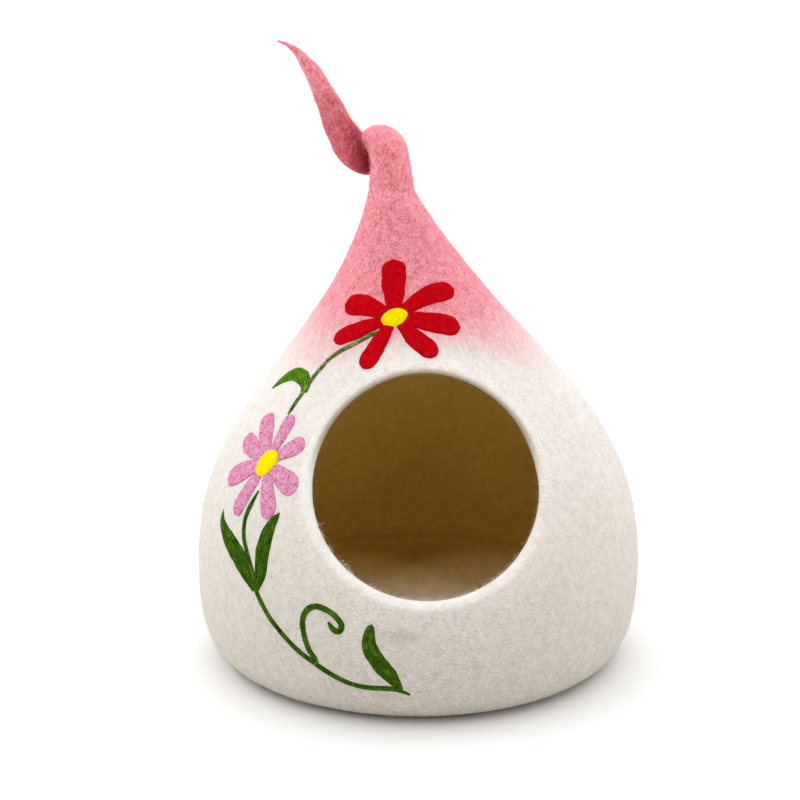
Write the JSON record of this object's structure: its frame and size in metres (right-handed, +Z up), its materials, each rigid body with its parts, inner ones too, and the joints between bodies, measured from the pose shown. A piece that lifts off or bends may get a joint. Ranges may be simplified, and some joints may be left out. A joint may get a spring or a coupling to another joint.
{
  "type": "felt cat cave",
  "caption": "Seamless thick wool felt cat cave shaped like a drop, with a round front entrance, a folded tail on top and needled felt flowers and stems.",
  "frame": {"origin": "middle of the flat base, on the surface it rests on", "axes": "+Z up; the entrance faces -Y; +X is on the right of someone who looks into the entrance"},
  "size_m": [0.4195, 0.4225, 0.5848],
  "materials": {
    "natural_white_felt": "wet-felted wool, fuzzy matt",
    "red_felt": "needled wool felt, matt",
    "pink_felt": "needled wool felt, matt",
    "yellow_felt": "needled wool felt, matt",
    "green_felt": "needled wool felt, matt"
  },
  "bodies": {
    "root": {"shell": "natural_white_felt", "red_petal_1": "red_felt", "red_petal_2": "red_felt", "red_petal_3": "red_felt", "red_petal_4": "red_felt", "red_petal_5": "red_felt", "red_petal_6": "red_felt", "red_petal_7": "red_felt", "red_flower_centre": "yellow_felt", "pink_petal_1": "pink_felt", "pink_petal_2": "pink_felt", "pink_petal_3": "pink_felt", "pink_petal_4": "pink_felt", "pink_petal_5": "pink_felt", "pink_petal_6": "pink_felt", "pink_petal_7": "pink_felt", "pink_petal_8": "pink_felt", "pink_flower_centre": "yellow_felt", "upper_stem": "green_felt", "lower_stem": "green_felt", "tendril": "green_felt", "crescent_leaf": "green_felt", "left_leaf": "green_felt", "right_leaf": "green_felt", "end_leaf": "green_felt"}
  },
  "joints": []
}
